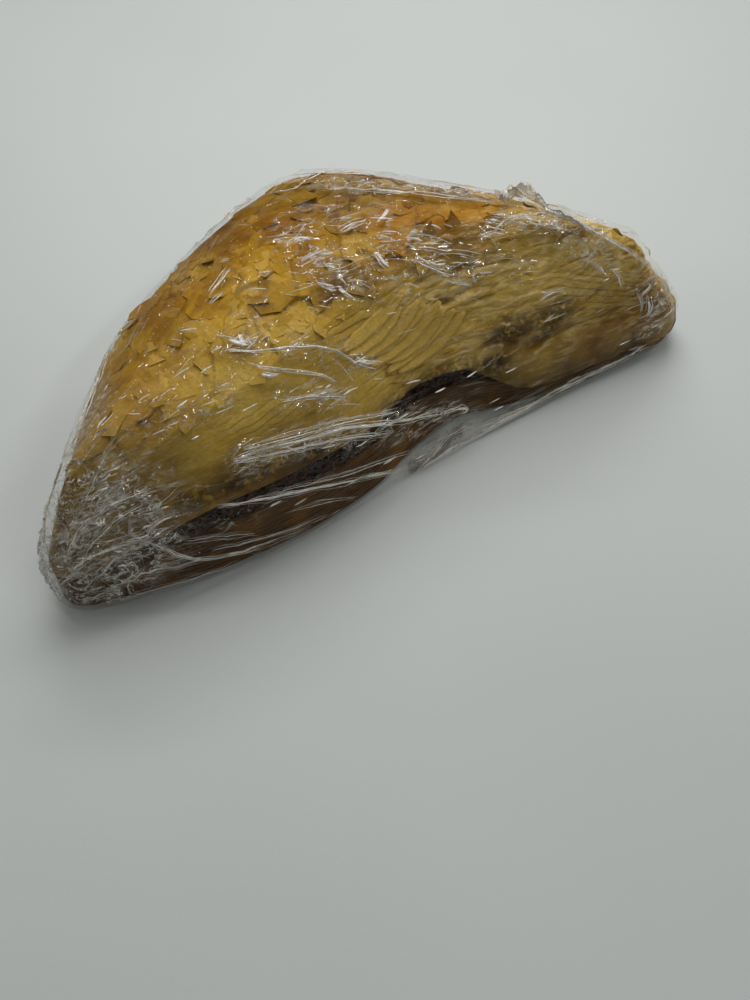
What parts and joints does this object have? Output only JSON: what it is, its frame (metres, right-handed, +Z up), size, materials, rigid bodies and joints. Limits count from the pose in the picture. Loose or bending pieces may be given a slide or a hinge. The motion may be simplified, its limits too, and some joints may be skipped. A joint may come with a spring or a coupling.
{
  "type": "wrapped baklava slice",
  "caption": "Three-cornered slice of layered nut pastry with a long cut side, wrapped tightly in clear creased cling film with a loose end.",
  "frame": {"origin": "middle of the footprint, on the surface that the wrapped slice stands on", "axes": "+X along the long cut side, +Y from the cut side towards the back corner, +Z up"},
  "size_m": [0.138, 0.0602, 0.0409],
  "materials": {
    "pastry_base": "syrup-soaked brown pastry, slightly glossy",
    "nut_filling": "rough dark chopped nuts",
    "pastry_top": "golden flaky sheets with syrup",
    "cling_film": "clear glossy film"
  },
  "bodies": {
    "root": {"pastry_base": "pastry_base", "nut_filling": "nut_filling", "pastry_top": "pastry_top", "cling_film": "cling_film"}
  },
  "joints": []
}
